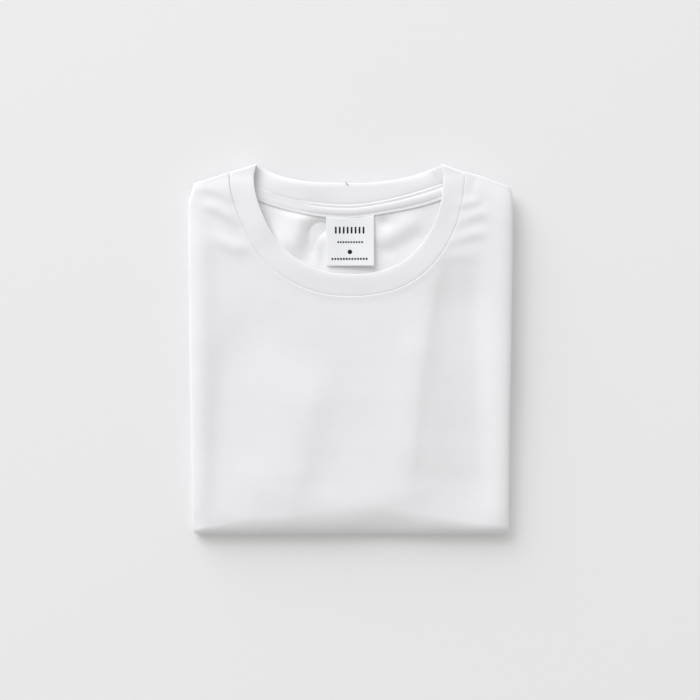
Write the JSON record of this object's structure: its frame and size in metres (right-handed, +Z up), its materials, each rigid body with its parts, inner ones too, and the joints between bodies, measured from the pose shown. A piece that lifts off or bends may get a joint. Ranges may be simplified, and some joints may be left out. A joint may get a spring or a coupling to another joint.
{
  "type": "folded t-shirt",
  "caption": "Plain white cotton crew-neck T-shirt folded into a flat rectangular packet, front side up, with the collar at the top edge.",
  "frame": {"origin": "middle of the packet's bounding box, on the surface that the packet lies on", "axes": "+Y from the bottom fold to the collar, +X to the right of someone facing the collar, +Z up through the folded cloth"},
  "size_m": [0.2633, 0.301, 0.0179],
  "materials": {
    "jersey": "matt white cotton single jersey",
    "rib": "matt white cotton 1x1 rib, doubled",
    "tape": "matt white cotton neck tape, stitched along both edges",
    "label": "white woven satin label with a faint sheen and plain dark marks"
  },
  "bodies": {
    "root": {"front_body": "jersey", "back_body": "jersey", "sleeve_left": "jersey", "sleeve_right": "jersey", "neck_rib": "rib", "neck_tape": "tape", "size_label": "label", "folded_layers": "jersey"}
  },
  "joints": []
}
